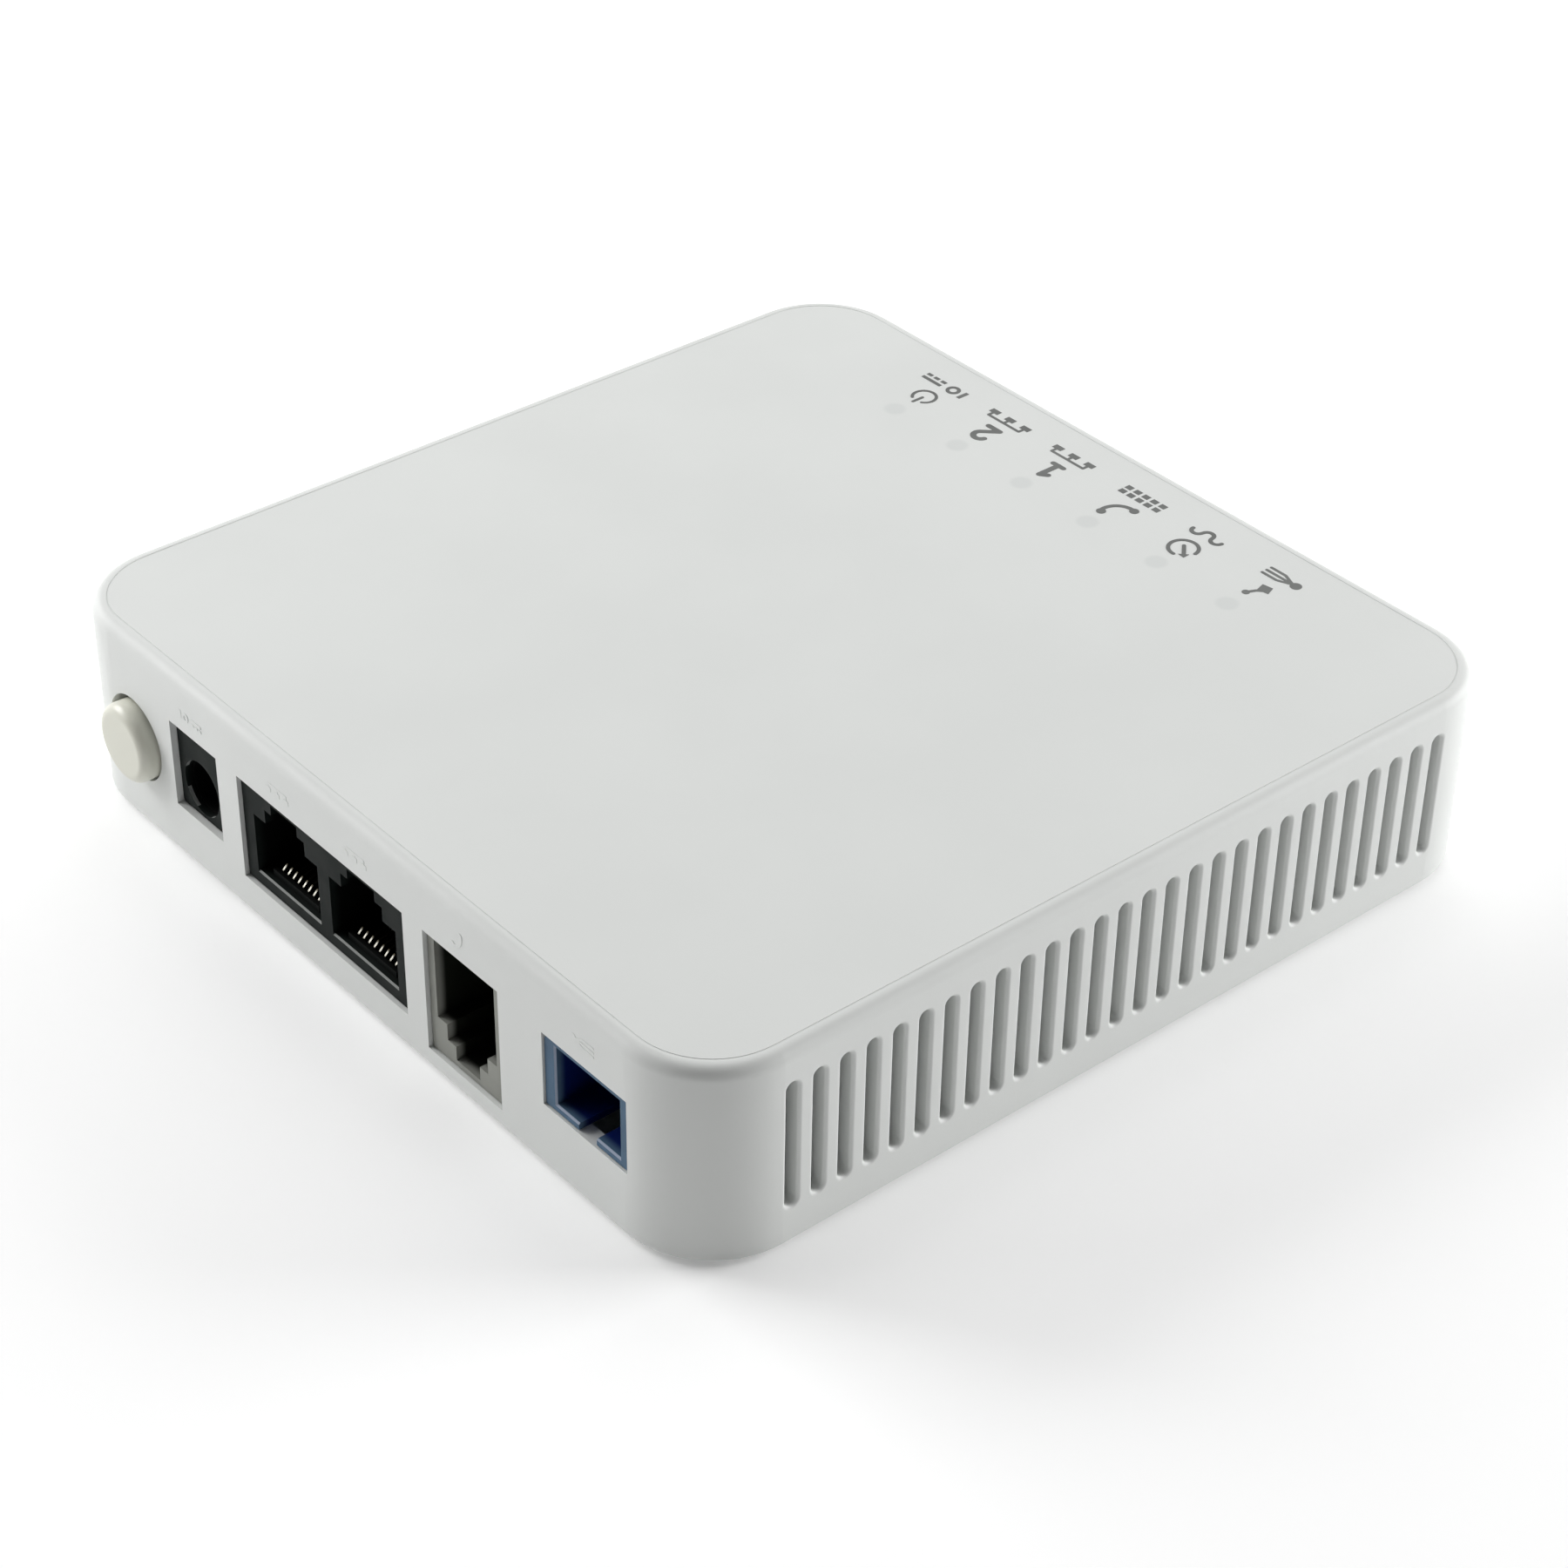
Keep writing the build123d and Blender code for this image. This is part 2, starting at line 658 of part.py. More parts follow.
# ---------------------------------------------------------------- processor, memory and cooling
chip_at = (4.0, 6.0)
chip_thickness = 1.4
pad_thickness = 0.5
sink_side = 30.0
sink_base = 2.0
fin_height = 5.0
fin_count = 9
fin_thickness = 1.2
pad_top = board_z - chip_thickness
sink_top = pad_top - pad_thickness
with BuildPart() as main_processor:
    under_board([chip_at], (17.0, 17.0, chip_thickness))
main_processor.part.label = "main_processor"

with BuildPart() as thermal_pad:
    with Locations((*chip_at, pad_top - pad_thickness / 2)):
        Box(15.0, 15.0, pad_thickness)
thermal_pad.part.label = "thermal_pad"

with BuildPart() as heatsink:
    with Locations((*chip_at, sink_top - sink_base / 2)):
        Box(sink_side, sink_side, sink_base)
    with Locations((*chip_at, sink_top - sink_base - fin_height / 2)):
        with GridLocations((sink_side - fin_thickness) / (fin_count - 1), 1, fin_count, 1):
            Box(fin_thickness, sink_side, fin_height)
heatsink.part.label = "heatsink"

with BuildPart() as memory_chip:
    under_board([(-22.0, 12.0)], (9.0, 13.0, 1.1))
memory_chip.part.label = "memory_chip"

with BuildPart() as flash_chip:
    under_board([(-22.0, 30.0)], (8.0, 6.0, 1.8))
flash_chip.part.label = "flash_chip"

with BuildPart() as phone_line_chip:
    under_board([(20.0, -30.0)], (8.0, 8.0, 0.9))
phone_line_chip.part.label = "phone_line_chip"

with BuildPart() as lan_transformers:
    under_board([(port, -34.0) for port in lan_ports], (12.7, 9.0, 5.6))
lan_transformers.part.label = "lan_transformers"

with BuildPart() as power_inductors:
    for x, y in ((-50, -8), (-50, 4), (-50, 16)):
        with Locations((x, y, board_z - 1.75)):
            Box(7.0, 7.0, 3.5)
    chamfer(power_inductors.edges().filter_by(Axis.Z), 1.0)
power_inductors.part.label = "power_inductors"

with BuildPart() as bulk_capacitors:
    with BuildSketch(Plane.XY.offset(board_z)):
        with Locations((-31, -30), (-29, -19), (-29, -8)):
            Circle(4.0)
    extrude(amount=-11.5)
    fillet(bulk_capacitors.edges().group_by(Axis.Z)[0], 0.5)
bulk_capacitors.part.label = "bulk_capacitors"

with BuildPart() as ceramic_capacitors:
    for x in (-7.5, 15.5):
        under_board([(x, chip_at[1] + 2.4 * i) for i in range(-3, 4)], (1.6, 0.8, 0.8))
    for y in (-8.0, 20.0):
        under_board([(chip_at[0] + 2.4 * i, y) for i in range(-3, 4)], (0.8, 1.6, 0.8))
ceramic_capacitors.part.label = "ceramic_capacitors"

with BuildPart() as chip_resistors:
    under_board([(30 + 2.0 * i, 10 + 3.0 * j) for i in range(4) for j in range(4)], (1.0, 0.5, 0.4))
    under_board([(light_x, 36.0) for light_x, _ in light_row], (1.0, 0.5, 0.4))
chip_resistors.part.label = "chip_resistors"

with BuildPart() as regulator_chips:
    under_board([(-44, -1), (-44, 9), (-44, 20)], (2.9, 1.6, 1.1))
regulator_chips.part.label = "regulator_chips"

with BuildPart() as clock_crystal:
    under_board([(4.0, 26.0)], (3.2, 2.5, 0.8))
clock_crystal.part.label = "clock_crystal"

with BuildPart() as input_fuse:
    under_board([(-30.0, -40.0)], (4.5, 2.5, 1.6))
input_fuse.part.label = "input_fuse"

with BuildPart() as surge_protectors:
    under_board([(17.5, -39.5), (24.0, -39.5)], (4.5, 3.6, 2.3))
surge_protectors.part.label = "surge_protectors"

header_at = (38.0, 40.0)
with BuildPart() as service_header:
    under_board([header_at], (10.2, 2.5, 2.5))
service_header.part.label = "service_header"

with BuildPart() as service_pins:
    with Locations((*header_at, board_z - 5.5)):
        with GridLocations(2.54, 1, 4, 1):
            Box(0.64, 0.64, 6.0)
service_pins.part.label = "service_pins"

pieces = [
    housing, base_plate, rubber_feet, base_screws, rating_label, circuit_board, board_screws,
    dc_jack_housing, dc_jack_pin, dc_jack_spring, lan_jack_housing, lan_jack_contacts,
    phone_jack_housing, phone_jack_contacts, fibre_receptacle, fibre_sleeve, optical_module,
    laser_can, photodiode_can, laser_shield, laser_driver, power_button, switch_plunger,
    switch_body, switch_spring, status_leds, light_guides, light_baffle, main_processor,
    thermal_pad, heatsink, memory_chip, flash_chip, phone_line_chip, lan_transformers,
    power_inductors, bulk_capacitors, ceramic_capacitors, chip_resistors, regulator_chips,
    clock_crystal, input_fuse, surge_protectors, service_header, service_pins,
]
for piece in pieces:
    export_step(piece.part, f"parts/{piece.part.label}.step")
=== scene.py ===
import json
import math

import bmesh
import bpy
from mathutils import Matrix, Vector


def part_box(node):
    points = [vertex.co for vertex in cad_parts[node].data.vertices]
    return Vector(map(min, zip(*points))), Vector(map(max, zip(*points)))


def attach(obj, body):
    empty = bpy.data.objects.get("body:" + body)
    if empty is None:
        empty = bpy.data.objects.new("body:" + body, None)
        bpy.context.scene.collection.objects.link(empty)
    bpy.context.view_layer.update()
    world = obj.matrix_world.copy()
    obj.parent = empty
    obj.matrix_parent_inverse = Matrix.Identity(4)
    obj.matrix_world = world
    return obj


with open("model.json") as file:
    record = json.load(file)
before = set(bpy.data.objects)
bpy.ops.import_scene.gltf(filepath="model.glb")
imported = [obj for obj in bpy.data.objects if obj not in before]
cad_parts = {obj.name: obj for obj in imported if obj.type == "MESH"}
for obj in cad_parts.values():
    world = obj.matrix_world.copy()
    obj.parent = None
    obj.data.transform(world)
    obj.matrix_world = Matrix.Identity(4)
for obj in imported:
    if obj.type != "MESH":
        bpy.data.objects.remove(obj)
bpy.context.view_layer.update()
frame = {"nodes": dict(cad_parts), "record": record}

# Looks of the optical network terminal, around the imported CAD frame. Metres, +Z up,
# connectors on the -Y side, vents on both X sides.

MM = 0.001

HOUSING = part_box("housing")
ROOF_Z = HOUSING[1].z
FLOOR_Z = HOUSING[0].z
FRONT_Y = HOUSING[0].y
LIGHTS_LOW, LIGHTS_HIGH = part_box("light_guides")
LIGHT_COUNT = 6
GUIDE_RADIUS = (LIGHTS_HIGH.y - LIGHTS_LOW.y) / 2
LIGHT_FIRST_X = LIGHTS_LOW.x + GUIDE_RADIUS
LIGHT_PITCH = (LIGHTS_HIGH.x - LIGHTS_LOW.x - 2 * GUIDE_RADIUS) / (LIGHT_COUNT - 1)
LIGHT_Y = (LIGHTS_LOW.y + LIGHTS_HIGH.y) / 2


# ---------------------------------------------------------------- shader helpers
class Nodes:
    """Short names for building one material's node tree."""

    def __init__(self, name):
        self.material = bpy.data.materials.new(name)
        self.material.use_nodes = True
        self.tree = self.material.node_tree
        self.tree.nodes.clear()
        self.shader = self.tree.nodes.new("ShaderNodeBsdfPrincipled")
        output = self.tree.nodes.new("ShaderNodeOutputMaterial")
        self.tree.links.new(self.shader.outputs[0], output.inputs["Surface"])
        self.place = self.tree.nodes.new("ShaderNodeTexCoord").outputs["Object"]

    def link(self, value, socket):
        """Feeds a socket from another socket, or sets it to a number or colour."""
        if isinstance(value, bpy.types.NodeSocket):
            self.tree.links.new(value, socket)
        else:
            socket.default_value = value

    def math(self, operation, a, b=0.0, clamp=False):
        node = self.tree.nodes.new("ShaderNodeMath")
        node.operation = operation
        node.use_clamp = clamp
        self.link(a, node.inputs[0])
        self.link(b, node.inputs[1])
        return node.outputs[0]

    def xyz(self, vector=None):
        node = self.tree.nodes.new("ShaderNodeSeparateXYZ")
        self.tree.links.new(vector or self.place, node.inputs[0])
        return node.outputs

    def noise(self, size, detail=3.0, stretch=(1, 1, 1)):
        """Noise with features about `size` metres across; more stretch means finer along that axis."""
        mapping = self.tree.nodes.new("ShaderNodeMapping")
        mapping.inputs["Scale"].default_value = [s / size for s in stretch]
        self.tree.links.new(self.place, mapping.inputs["Vector"])
        node = self.tree.nodes.new("ShaderNodeTexNoise")
        node.inputs["Scale"].default_value = 1.0
        node.inputs["Detail"].default_value = detail
        self.tree.links.new(mapping.outputs[0], node.inputs["Vector"])
        return node.outputs["Fac"]

    def spread(self, value, low, high, to_low, to_high):
        """Maps a range onto another, clamped."""
        node = self.tree.nodes.new("ShaderNodeMapRange")
        node.interpolation_type = "SMOOTHSTEP"
        self.tree.links.new(value, node.inputs["Value"])
        for name, number in zip(("From Min", "From Max", "To Min", "To Max"), (low, high, to_low, to_high)):
            node.inputs[name].default_value = number
        return node.outputs["Result"]

    def mix(self, factor, a, b):
        node = self.tree.nodes.new("ShaderNodeMix")
        node.data_type = "RGBA"
        self.link(factor, node.inputs["Factor"])
        self.link(a, node.inputs["A"])
        self.link(b, node.inputs["B"])
        return node.outputs["Result"]

    def bump(self, height, distance, strength=1.0, under=None):
        node = self.tree.nodes.new("ShaderNodeBump")
        node.inputs["Strength"].default_value = strength
        node.inputs["Distance"].default_value = distance
        self.tree.links.new(height, node.inputs["Height"])
        if under is not None:
            self.tree.links.new(under, node.inputs["Normal"])
        return node.outputs["Normal"]


def rgba(colour, scale=1.0):
    return (*[channel * scale for channel in colour], 1.0)


def moulded(name, colour, roughness, grain=0.4 * MM, relief=0.006 * MM, vary=0.05, coat=0.0, metal=0.0):
    """Moulded plastic or plain metal: a little mottled, with a fine grain and uneven gloss."""
    n = Nodes(name)
    clouds = n.noise(9 * MM, detail=4.0)
    base = n.mix(n.spread(clouds, 0.3, 0.7, 0.0, 1.0), rgba(colour, 1 - vary), rgba(colour, 1 + vary))
    n.link(base, n.shader.inputs["Base Color"])
    n.link(n.spread(clouds, 0.25, 0.75, roughness * 0.92, roughness * 1.08), n.shader.inputs["Roughness"])
    n.link(n.bump(n.noise(grain, detail=2.0), relief), n.shader.inputs["Normal"])
    n.shader.inputs["Metallic"].default_value = metal
    n.shader.inputs["Coat Weight"].default_value = coat
    return n.material


def jack(name, nodes, face, deep, edge, roughness, specular):
    """Moulded connector body, with painted shade darkening it down in its sockets and a painted highlight
    along the front bevels.
    """
    n = Nodes(name)
    face_y = min(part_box(node)[0].y for node in nodes)
    _, y, _ = n.xyz()
    mottle = n.spread(n.noise(5 * MM, detail=4.0), 0.3, 0.7, 0.0, 1.0)
    outside = n.mix(mottle, rgba(face, 0.92), rgba(face, 1.08))
    inside = n.mix(mottle, rgba(deep, 0.9), rgba(deep, 1.1))
    # painted shade: the colour darkens towards the inside colour with depth behind the face
    depth = n.spread(y, face_y + FACE_DEPTH, face_y + SOCKET_FADE, 0.0, 1.0)
    base = n.mix(depth, outside, inside)
    # bevels are the only faces near the front that look along no axis
    normal = n.tree.nodes.new("ShaderNodeNewGeometry").outputs["True Normal"]
    sides = [n.math("ABSOLUTE", side) for side in n.xyz(normal)]
    squareness = n.math("MAXIMUM", n.math("MAXIMUM", sides[0], sides[1]), sides[2])
    bevel = n.math("LESS_THAN", squareness, SQUARE_NORMAL)
    near_front = n.math("LESS_THAN", y, face_y + HIGHLIT_BEVEL_DEPTH)
    # painted highlight: bevels near the front take the pale edge colour
    base = n.mix(n.math("MULTIPLY", bevel, near_front), base, rgba(edge))
    n.link(base, n.shader.inputs["Base Color"])
    n.link(n.spread(mottle, 0.0, 1.0, roughness * 0.92, roughness * 1.08), n.shader.inputs["Roughness"])
    n.link(n.bump(n.noise(0.35 * MM, detail=2.0), 0.004 * MM), n.shader.inputs["Normal"])
    n.shader.inputs["Specular IOR Level"].default_value = specular
    return n.material


# ---------------------------------------------------------------- materials
SHELL_COLOUR = (0.70, 0.715, 0.70)
SPOT_COLOUR = (0.59, 0.61, 0.60)  # of the thin roof over a light
SPOT_STRENGTH = 0.5
SPOT_INNER, SPOT_OUTER = 1.0 * MM, 1.75 * MM  # the spot fades out between these radii
ROOF_MARGIN = 0.2 * MM  # what lies within this of the roof counts as the top

# how a jack's colour darkens with the depth behind its face: painted shade down in the sockets
FACE_DEPTH = 0.3 * MM  # still the face's colour
SOCKET_FADE = 1.4 * MM  # already fully the painted shade of the inside
HIGHLIT_BEVEL_DEPTH = 0.75 * MM  # bevels down to here get a painted highlight
SQUARE_NORMAL = 0.9  # flat walls have a normal with one part above this

# painted glint: the contact wires keep their bright colour only in a band behind the connector wall, above
# the sill, and take a painted shade colour elsewhere
SHINE_END, PAINTED_SHADE_START = 2.3 * MM, 2.6 * MM
SHINE_LOW, SHINE_HIGH = 7.3 * MM, 7.5 * MM
# painted shade colour of the wires outside the glint band
PAINTED_SHADE_METAL = (0.03, 0.026, 0.018)

LABEL_BORDER = 1.6 * MM
LABEL_LINE = 0.15 * MM


def shell_material():
    """White ABS: spark-eroded texture, faint mottling, and the lights' thin spots showing on the top."""
    n = Nodes("shell_white")
    x, y, z = n.xyz()
    clouds = n.noise(24 * MM, detail=5.0)
    base = n.mix(n.spread(clouds, 0.3, 0.7, 0.0, 1.0), rgba(SHELL_COLOUR, 0.985), rgba(SHELL_COLOUR, 1.01))
    # distance from the nearest light, in the plane of the top
    along = n.math("DIVIDE", n.math("SUBTRACT", x, LIGHT_FIRST_X), LIGHT_PITCH)
    nearest = n.math("MINIMUM", n.math("MAXIMUM", n.math("ROUND", along), 0.0), LIGHT_COUNT - 1.0)
    off_x = n.math("MULTIPLY", n.math("SUBTRACT", along, nearest), LIGHT_PITCH)
    off_y = n.math("SUBTRACT", y, LIGHT_Y)
    squares = n.math("ADD", n.math("MULTIPLY", off_x, off_x), n.math("MULTIPLY", off_y, off_y))
    distance = n.math("SQRT", squares)
    spot = n.spread(distance, SPOT_INNER, SPOT_OUTER, 1.0, 0.0)
    on_top = n.math("GREATER_THAN", z, ROOF_Z - ROOF_MARGIN)
    spot = n.math("MULTIPLY", n.math("MULTIPLY", spot, on_top), SPOT_STRENGTH)
    base = n.mix(spot, base, rgba(SPOT_COLOUR))
    n.link(base, n.shader.inputs["Base Color"])
    n.link(n.spread(n.noise(15 * MM), 0.3, 0.7, 0.47, 0.54), n.shader.inputs["Roughness"])
    coarse = n.bump(n.noise(0.9 * MM, detail=3.0), 0.008 * MM)
    fine = n.bump(n.noise(0.25 * MM, detail=2.0), 0.004 * MM, under=coarse)
    n.link(fine, n.shader.inputs["Normal"])
    n.shader.inputs["Specular IOR Level"].default_value = 0.35
    return n.material


def contact_material():
    """Gold-flashed contact wire, brushed along its length, with a painted glint: bright only in a band near
    the front bend, and painted dark with shade deeper in and lower down.
    """
    n = Nodes("contact_brass")
    streaks = n.noise(0.3 * MM, stretch=(4, 0.5, 0.5))
    base = n.mix(streaks, rgba((0.24, 0.23, 0.20)), rgba((0.36, 0.35, 0.31)))
    _, y, z = n.xyz()
    deep = n.spread(y, FRONT_Y + SHINE_END, FRONT_Y + PAINTED_SHADE_START, 0.0, 1.0)
    low = n.spread(z, FLOOR_Z + SHINE_LOW, FLOOR_Z + SHINE_HIGH, 1.0, 0.0)
    # painted shade over the wire outside the painted glint band
    base = n.mix(n.math("MAXIMUM", deep, low), base, rgba(PAINTED_SHADE_METAL))
    n.link(base, n.shader.inputs["Base Color"])
    n.link(n.spread(streaks, 0.3, 0.7, 0.18, 0.32), n.shader.inputs["Roughness"])
    n.shader.inputs["Metallic"].default_value = 1.0
    return n.material


def board_material():
    """Green solder mask over copper, with tracks as faint raised lines."""
    n = Nodes("board_green")
    x, y, _ = n.xyz()
    tracks = n.math("PINGPONG", n.math("ADD", x, n.math("MULTIPLY", n.noise(7 * MM), 0.012)), 0.55 * MM)
    lines = n.spread(tracks, 0.15 * MM, 0.25 * MM, 0.0, 1.0)
    cross = n.math("PINGPONG", n.math("ADD", y, n.math("MULTIPLY", n.noise(9 * MM), 0.015)), 0.8 * MM)
    copper = n.math("MAXIMUM", lines, n.spread(cross, 0.2 * MM, 0.3 * MM, 0.0, 1.0))
    base = n.mix(copper, rgba((0.012, 0.085, 0.035)), rgba((0.03, 0.17, 0.07)))
    n.link(base, n.shader.inputs["Base Color"])
    n.link(n.spread(copper, 0.0, 1.0, 0.35, 0.25), n.shader.inputs["Roughness"])
    n.link(n.bump(copper, 0.03 * MM), n.shader.inputs["Normal"])
    n.shader.inputs["Coat Weight"].default_value = 0.3
    return n.material


def label_material():
    """Blank silver-white film label with a fine printed border."""
    n = Nodes("label_film")
    low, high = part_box("rating_label")
    x, y, _ = n.xyz()
    edge_x = n.math("MINIMUM", n.math("SUBTRACT", x, low.x), n.math("SUBTRACT", high.x, x))
    edge_y = n.math("MINIMUM", n.math("SUBTRACT", y, low.y), n.math("SUBTRACT", high.y, y))
    edge = n.math("MINIMUM", edge_x, edge_y)
    line = n.math("COMPARE", edge, LABEL_BORDER)
    line.node.inputs[2].default_value = LABEL_LINE
    paper = n.mix(n.noise(2 * MM, detail=5.0), rgba((0.80, 0.80, 0.79)), rgba((0.86, 0.86, 0.85)))
    n.link(n.mix(line, paper, rgba((0.25, 0.25, 0.26))), n.shader.inputs["Base Color"])
    n.shader.inputs["Roughness"].default_value = 0.42
    n.link(n.bump(n.noise(0.5 * MM), 0.004 * MM), n.shader.inputs["Normal"])
    return n.material


def clear_material():
    n = Nodes("light_clear")
    haze = n.noise(1.5 * MM)
    n.link(n.spread(haze, 0.3, 0.7, 0.12, 0.25), n.shader.inputs["Roughness"])
    n.link(n.mix(haze, rgba((0.86, 0.89, 0.86)), rgba((0.95, 0.97, 0.95))), n.shader.inputs["Base Color"])
    n.shader.inputs["Transmission Weight"].default_value = 0.85
    n.shader.inputs["IOR"].default_value = 1.49
    return n.material


def brushed_material(name, colour, roughness, stretch):
    """Metal with fine streaks across `stretch`'s finer axes."""
    n = Nodes(name)
    streaks = n.noise(0.8 * MM, detail=5.0, stretch=stretch)
    n.link(n.mix(streaks, rgba(colour, 0.82), rgba(colour, 1.12)), n.shader.inputs["Base Color"])
    n.link(n.spread(streaks, 0.25, 0.75, roughness * 0.8, roughness * 1.25), n.shader.inputs["Roughness"])
    n.link(n.bump(streaks, 0.006 * MM), n.shader.inputs["Normal"])
    n.shader.inputs["Metallic"].default_value = 1.0
    return n.material


MATERIALS = {
    "shell_white": shell_material(),
    "foot_rubber": moulded("foot_rubber", (0.10, 0.10, 0.10), 0.75, relief=0.012 * MM, vary=0.12),
    "screw_steel": brushed_material("screw_steel", (0.55, 0.55, 0.57), 0.32, (1, 6, 1)),
    "label_film": label_material(),
    "board_green": board_material(),
    # each jack's deep colour is painted shade in its sockets, its edge colour a painted highlight on its
    # front bevels
    "jack_black": jack(
        "jack_black",
        nodes=["dc_jack_housing", "lan_jack_housing"],
        face=(0.0075, 0.0105, 0.0095),
        deep=(0.0008, 0.0008, 0.0008),
        edge=(0.26, 0.27, 0.26),
        roughness=0.55,
        specular=0.1,
    ),
    "jack_grey": jack(
        "jack_grey",
        nodes=["phone_jack_housing"],
        face=(0.27, 0.275, 0.25),
        deep=(0.006, 0.007, 0.004),
        edge=(0.3, 0.3, 0.28),
        roughness=0.5,
        specular=0.2,
    ),
    "contact_brass": contact_material(),
    "fibre_blue": jack(
        "fibre_blue",
        nodes=["fibre_receptacle"],
        face=(0.075, 0.135, 0.21),
        deep=(0.002, 0.010, 0.095),
        edge=(0.32, 0.37, 0.47),
        roughness=0.42,
        specular=0.12,
    ),
    "ceramic_white": moulded("ceramic_white", (0.78, 0.77, 0.72), 0.22, relief=0.002 * MM, vary=0.03),
    "metal_case": brushed_material("metal_case", (0.62, 0.61, 0.58), 0.28, (5, 1, 5)),
    "button_ivory": moulded(
        "button_ivory", (0.66, 0.66, 0.575), 0.34, relief=0.003 * MM, vary=0.02, coat=0.1
    ),
    "switch_white": moulded("switch_white", (0.72, 0.72, 0.68), 0.4, vary=0.04),
    "led_lens": moulded("led_lens", (0.75, 0.76, 0.45), 0.2, relief=0.002 * MM, vary=0.05, coat=0.4),
    "light_clear": clear_material(),
    "chip_black": moulded("chip_black", (0.02, 0.02, 0.021), 0.5, grain=0.15 * MM, vary=0.15),
    "pad_grey": moulded("pad_grey", (0.25, 0.32, 0.38), 0.7, relief=0.01 * MM, vary=0.1),
    "sink_black": brushed_material("sink_black", (0.05, 0.05, 0.055), 0.38, (1, 8, 1)),
    "ferrite_grey": moulded("ferrite_grey", (0.055, 0.055, 0.058), 0.6, relief=0.015 * MM, vary=0.2),
    "can_sleeve": moulded("can_sleeve", (0.015, 0.017, 0.04), 0.25, relief=0.002 * MM, vary=0.1, coat=0.3),
    "ceramic_tan": moulded("ceramic_tan", (0.36, 0.24, 0.13), 0.45, vary=0.15),
}


def dress_frame():
    """Gives every CAD node the material of its record slot."""
    slots = {part["node"]: part["material_slot"] for part in frame["record"]["subparts"]}
    for name, node in frame["nodes"].items():
        node.data.materials.clear()
        node.data.materials.append(MATERIALS[slots[name]])


# ---------------------------------------------------------------- printed marks
INK_THICKNESS = 0.02 * MM
RAISED_MARK_RELIEF = 0.035 * MM
OUTLINE_STEP = 0.02  # extra height of each further outline, as a share of the thickness
ICON_OFFSET = 4.8 * MM  # from the lights towards +Y
CAPTION_OFFSET = 9.0 * MM
RAISED_MARK_DROP = 4.4 * MM  # below the roof
LAN_PORT_OFFSET = 7.5 * MM  # either side of the middle of the double jack


def flat_piece(name, outlines, to_world, thickness, material):
    """Thin raised piece from flat convex outlines, each a list of (x, y), placed by a matrix.

    Outlines overlap, so each is a hair higher than the one before, and all start under the surface.
    """
    mesh = bmesh.new()
    for order, outline in enumerate(outlines):
        top = thickness * (1 + OUTLINE_STEP * order)
        lower = [mesh.verts.new(to_world @ Vector((x, y, -thickness))) for x, y in outline]
        upper = [mesh.verts.new(to_world @ Vector((x, y, top))) for x, y in outline]
        mesh.faces.new(list(reversed(lower)))
        mesh.faces.new(upper)
        for i in range(len(outline)):
            j = (i + 1) % len(outline)
            mesh.faces.new((lower[i], lower[j], upper[j], upper[i]))
    bmesh.ops.recalc_face_normals(mesh, faces=mesh.faces)
    data = bpy.data.meshes.new(name)
    mesh.to_mesh(data)
    mesh.free()
    data.materials.append(material)
    piece = bpy.data.objects.new(name, data)
    bpy.context.scene.collection.objects.link(piece)
    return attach(piece, "case")


def stroke(points, width):
    """A line of the given width as one quad per run, with round joints."""
    shapes = []
    for (x0, y0), (x1, y1) in zip(points, points[1:]):
        run = Vector((x1 - x0, y1 - y0))
        side = Vector((-run.y, run.x)).normalized() * width / 2
        shapes.append([
            (x0 + side.x, y0 + side.y), (x0 - side.x, y0 - side.y),
            (x1 - side.x, y1 - side.y), (x1 + side.x, y1 + side.y),
        ])
    for x, y in points:
        shapes.append(disc(x, y, width / 2, 10))
    return shapes


def disc(x, y, radius, sides=24):
    turns = [2 * math.pi * i / sides for i in range(sides)]
    return [(x + radius * math.cos(t), y + radius * math.sin(t)) for t in turns]


def arc(x, y, radius, start, end, steps=24):
    """Points along an arc, in degrees."""
    turns = [math.radians(start + (end - start) * i / steps) for i in range(steps + 1)]
    return [(x + radius * math.cos(t), y + radius * math.sin(t)) for t in turns]


def rectangle(x, y, width, height):
    return [
        (x - width / 2, y - height / 2), (x + width / 2, y - height / 2),
        (x + width / 2, y + height / 2), (x - width / 2, y + height / 2),
    ]


# Each icon is drawn in millimetres about its own centre, as read, with up as +y.
def power_icon():
    return stroke(arc(0, -0.2, 1.55, 125, 415), 0.42) + stroke([(0, 0.1), (0, 1.75)], 0.42)


def digit_two():
    top = arc(0, 0.8, 0.95, 165, -35, 14)
    return stroke(top + [(-0.95, -1.6), (1.1, -1.6)], 0.8)


def digit_one():
    return stroke([(-0.75, 1.0), (0.1, 1.65), (0.1, -1.6)], 0.85) + stroke([(-0.8, -1.6), (1.0, -1.6)], 0.75)


def handset_icon():
    bow = stroke(arc(-1.46, 1.09, 2.5, 18, -101, 18), 0.62)
    return bow + [disc(0.75, 1.8, 0.62), disc(-1.85, -1.3, 0.62)]


def signal_icon():
    ring = stroke(arc(0.15, 0.05, 1.85, 184, 454, 32), 0.5)
    arrow = stroke([(0.5, -0.4), (-0.9, 1.05)], 0.5)
    return ring + arrow + [[(-1.4, 1.6), (-1.35, 0.6), (-0.4, 1.5)]]


def fibre_icon():
    strand = stroke([(0.36, 1.3), (-0.2, 0.1), (-0.9, -0.6)], 0.5)
    return strand + [disc(0.36, 1.3, 0.5), [(-0.1, -0.1), (0.3, -1.5), (-1.15, -1.75), (-1.65, -0.4)]]


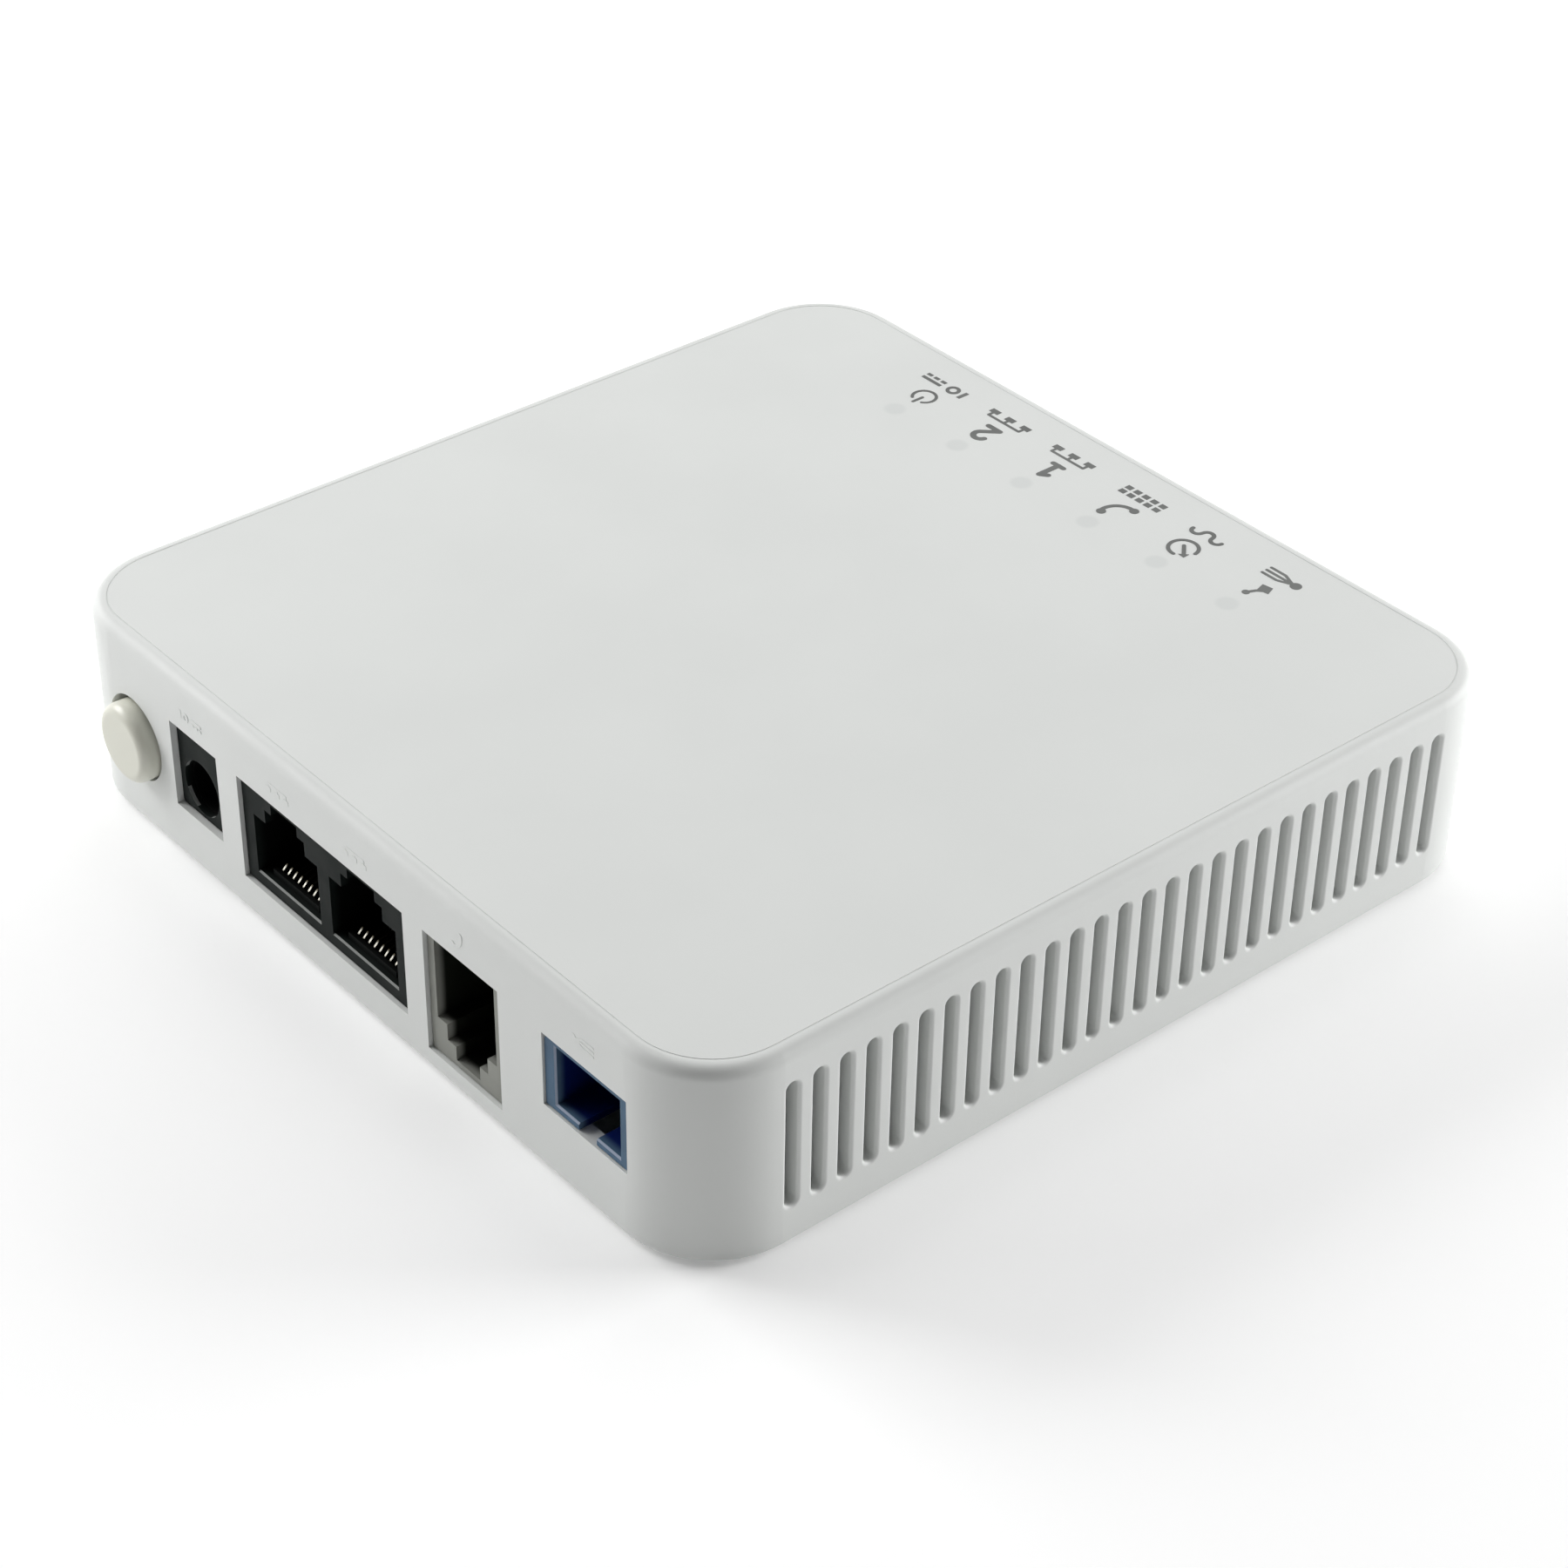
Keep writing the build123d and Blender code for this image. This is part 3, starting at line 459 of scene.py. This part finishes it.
def power_caption():
    bars = [rectangle(-3.4, 0, 0.6, 1.8)] + stroke(arc(-1.6, 0, 0.75, 0, 360), 0.5)
    direct = [rectangle(2.0, 0.5, 3.4, 0.5)] + [rectangle(0.7 + 1.3 * i, -0.45, 0.85, 0.5) for i in range(3)]
    return bars + direct


def network_caption():
    shapes = [rectangle(-2.8 + 2.8 * i, -0.5, 1.5, 0.9) for i in range(3)]
    shapes += stroke([(-2.8, 0), (-2.8, 0.7), (2.8, 0.7), (2.8, 0)], 0.42)
    return shapes + stroke([(0, 0), (0, 0.7)], 0.42)


def keypad_caption():
    return [rectangle(-2.9 + 1.45 * i, -0.6 + 1.2 * j, 1.0, 0.85) for i in range(5) for j in range(2)]


def wave_caption():
    crest = []
    for i in range(3):
        crest += arc(-1.6 + 1.6 * i, 0, 0.8, 180, 0 if i % 2 == 0 else 360, 8)
    return stroke(crest, 0.55)


def branch_caption():
    shapes = [disc(-2.2, 0, 0.75)]
    for rise in (-0.8, 0, 0.8):
        shapes += stroke([(-1.7, 0), (0.2, rise), (2.5, rise)], 0.42)
    return shapes


def printed_marks():
    """Icons and small picture captions beside each light, read from the +Y side."""
    ink = moulded("print_ink", (0.15, 0.156, 0.15), 0.6, relief=0.002 * MM, vary=0.12)
    icons = [power_icon, digit_two, digit_one, handset_icon, signal_icon, fibre_icon]
    captions = [power_caption, network_caption, network_caption, keypad_caption, wave_caption, branch_caption]
    caption_shift = (-0.5, -0.4, -0.5, 0.4, -0.3, 0.3)  # millimetres along X
    names = ("power", "network_two", "network_one", "phone", "signal", "fibre")
    for i, name in enumerate(names):
        light_x = LIGHT_FIRST_X + i * LIGHT_PITCH
        caption_x = light_x + caption_shift[i] * MM
        for kind, draw, x, y in (
            ("icon", icons[i], light_x, LIGHT_Y + ICON_OFFSET),
            ("caption", captions[i], caption_x, LIGHT_Y + CAPTION_OFFSET),
        ):
            place = Matrix.Translation((x, y, ROOF_Z)) @ Matrix.Rotation(math.pi, 4, "Z")
            place = place @ Matrix.Scale(MM, 4)
            flat_piece(f"printed_{kind}_{name}", draw(), place, INK_THICKNESS / MM, ink)


def raised_marks():
    """Small pictures moulded proud of the wall above each socket."""
    sockets = {
        "power": ("dc_jack_housing", power_caption, 0.62),
        "network_left": ("lan_jack_housing", network_caption, 0.62),
        "network_right": ("lan_jack_housing", network_caption, 0.62),
        "phone": ("phone_jack_housing", handset_icon, 0.55),
        "fibre": ("fibre_receptacle", branch_caption, 0.7),
    }
    for name, (node, draw, size) in sockets.items():
        low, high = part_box(node)
        x = (low.x + high.x) / 2
        if "left" in name or "right" in name:
            x += LAN_PORT_OFFSET * (-1 if "left" in name else 1)
        upright = Matrix.Rotation(math.pi / 2, 4, "X")
        place = Matrix.Translation((x, FRONT_Y, ROOF_Z - RAISED_MARK_DROP)) @ upright
        place = place @ Matrix.Scale(MM * size, 4)
        thickness = RAISED_MARK_RELIEF / (MM * size)
        flat_piece(f"raised_mark_{name}", draw(), place, thickness, MATERIALS["shell_white"])


# ---------------------------------------------------------------- stage, lights and camera
CAMERA_AZIMUTH = 49.571
CAMERA_ELEVATION = 35.650
CAMERA_ROLL = 0.854
CAMERA_DISTANCE = 0.42275
CAMERA_SHIFT_RIGHT = 1.34 * MM
CAMERA_SHIFT_UP = 2.16 * MM
CAMERA_LENS = 80.93


def make_camera():
    azimuth, elevation, roll = (math.radians(a) for a in (CAMERA_AZIMUTH, CAMERA_ELEVATION, CAMERA_ROLL))
    back = Vector((
        math.sin(azimuth) * math.cos(elevation),
        -math.cos(azimuth) * math.cos(elevation),
        math.sin(elevation),
    ))
    right = Vector((math.cos(azimuth), math.sin(azimuth), 0))
    up = back.cross(right)
    camera_x = right * math.cos(roll) + up * math.sin(roll)
    camera_y = up * math.cos(roll) - right * math.sin(roll)
    place = Matrix((camera_x, camera_y, back)).transposed().to_4x4()
    target = Vector((0, 0, FLOOR_Z)) + right * CAMERA_SHIFT_RIGHT + up * CAMERA_SHIFT_UP
    place.translation = target + back * CAMERA_DISTANCE
    data = bpy.data.cameras.new("camera")
    data.lens = CAMERA_LENS
    data.sensor_width = 36
    data.clip_start = 0.01
    camera = bpy.data.objects.new("camera", data)
    camera.matrix_world = place
    bpy.context.scene.collection.objects.link(camera)
    bpy.context.scene.camera = camera


FLOOR_GLOW = 0.15  # a lit light-table, so the ground stays white up to the case


def make_floor():
    n = Nodes("floor_paper")
    paper = n.noise(30 * MM, detail=6.0)
    n.link(n.mix(paper, rgba((0.93, 0.93, 0.93)), rgba((0.95, 0.95, 0.95))), n.shader.inputs["Base Color"])
    n.shader.inputs["Roughness"].default_value = 0.9
    n.shader.inputs["Specular IOR Level"].default_value = 0.1
    n.shader.inputs["Emission Color"].default_value = (1, 1, 1, 1)
    n.shader.inputs["Emission Strength"].default_value = FLOOR_GLOW
    bpy.ops.mesh.primitive_plane_add(size=6, location=(0, 0, 0))
    floor = bpy.context.object
    floor.name = "floor"
    floor.data.materials.append(n.material)


def soft_light(name, place, size, power, colour=(1, 1, 1)):
    """A square area light at `place`, aimed at the object."""
    data = bpy.data.lights.new(name, "AREA")
    data.shape = "SQUARE"
    data.size = size
    data.energy = power
    data.color = colour
    light = bpy.data.objects.new(name, data)
    light.location = place
    light.rotation_euler = (-Vector(place)).to_track_quat("-Z", "Y").to_euler()
    bpy.context.scene.collection.objects.link(light)


LIGHTS = (
    ("back_softbox", (-0.35, 0.60, 0.90), 0.8, 2.7),
    ("overhead_softbox", (0.0, 0.05, 1.2), 0.8, 2.6),
    ("left_near_softbox", (-0.42, -0.42, 0.22), 0.35, 0.8),
    ("left_softbox", (-0.5, -0.22, 0.3), 0.35, 2.8),
    ("far_left_softbox", (-1.1, 0.1, 0.5), 0.8, 1.1),
    ("right_softbox", (0.30, 0.5, 0.2), 0.35, 3.4),
)
WORLD_STRENGTH = 0.06


def make_lights():
    for light in LIGHTS:
        soft_light(*light)
    world = bpy.data.worlds.new("studio")
    world.use_nodes = True
    background = world.node_tree.nodes["Background"]
    background.inputs["Color"].default_value = (1, 1, 1, 1)
    background.inputs["Strength"].default_value = WORLD_STRENGTH
    bpy.context.scene.world = world
    bpy.context.scene.view_settings.view_transform = "Standard"


dress_frame()
printed_marks()
raised_marks()
make_camera()
make_floor()
make_lights()
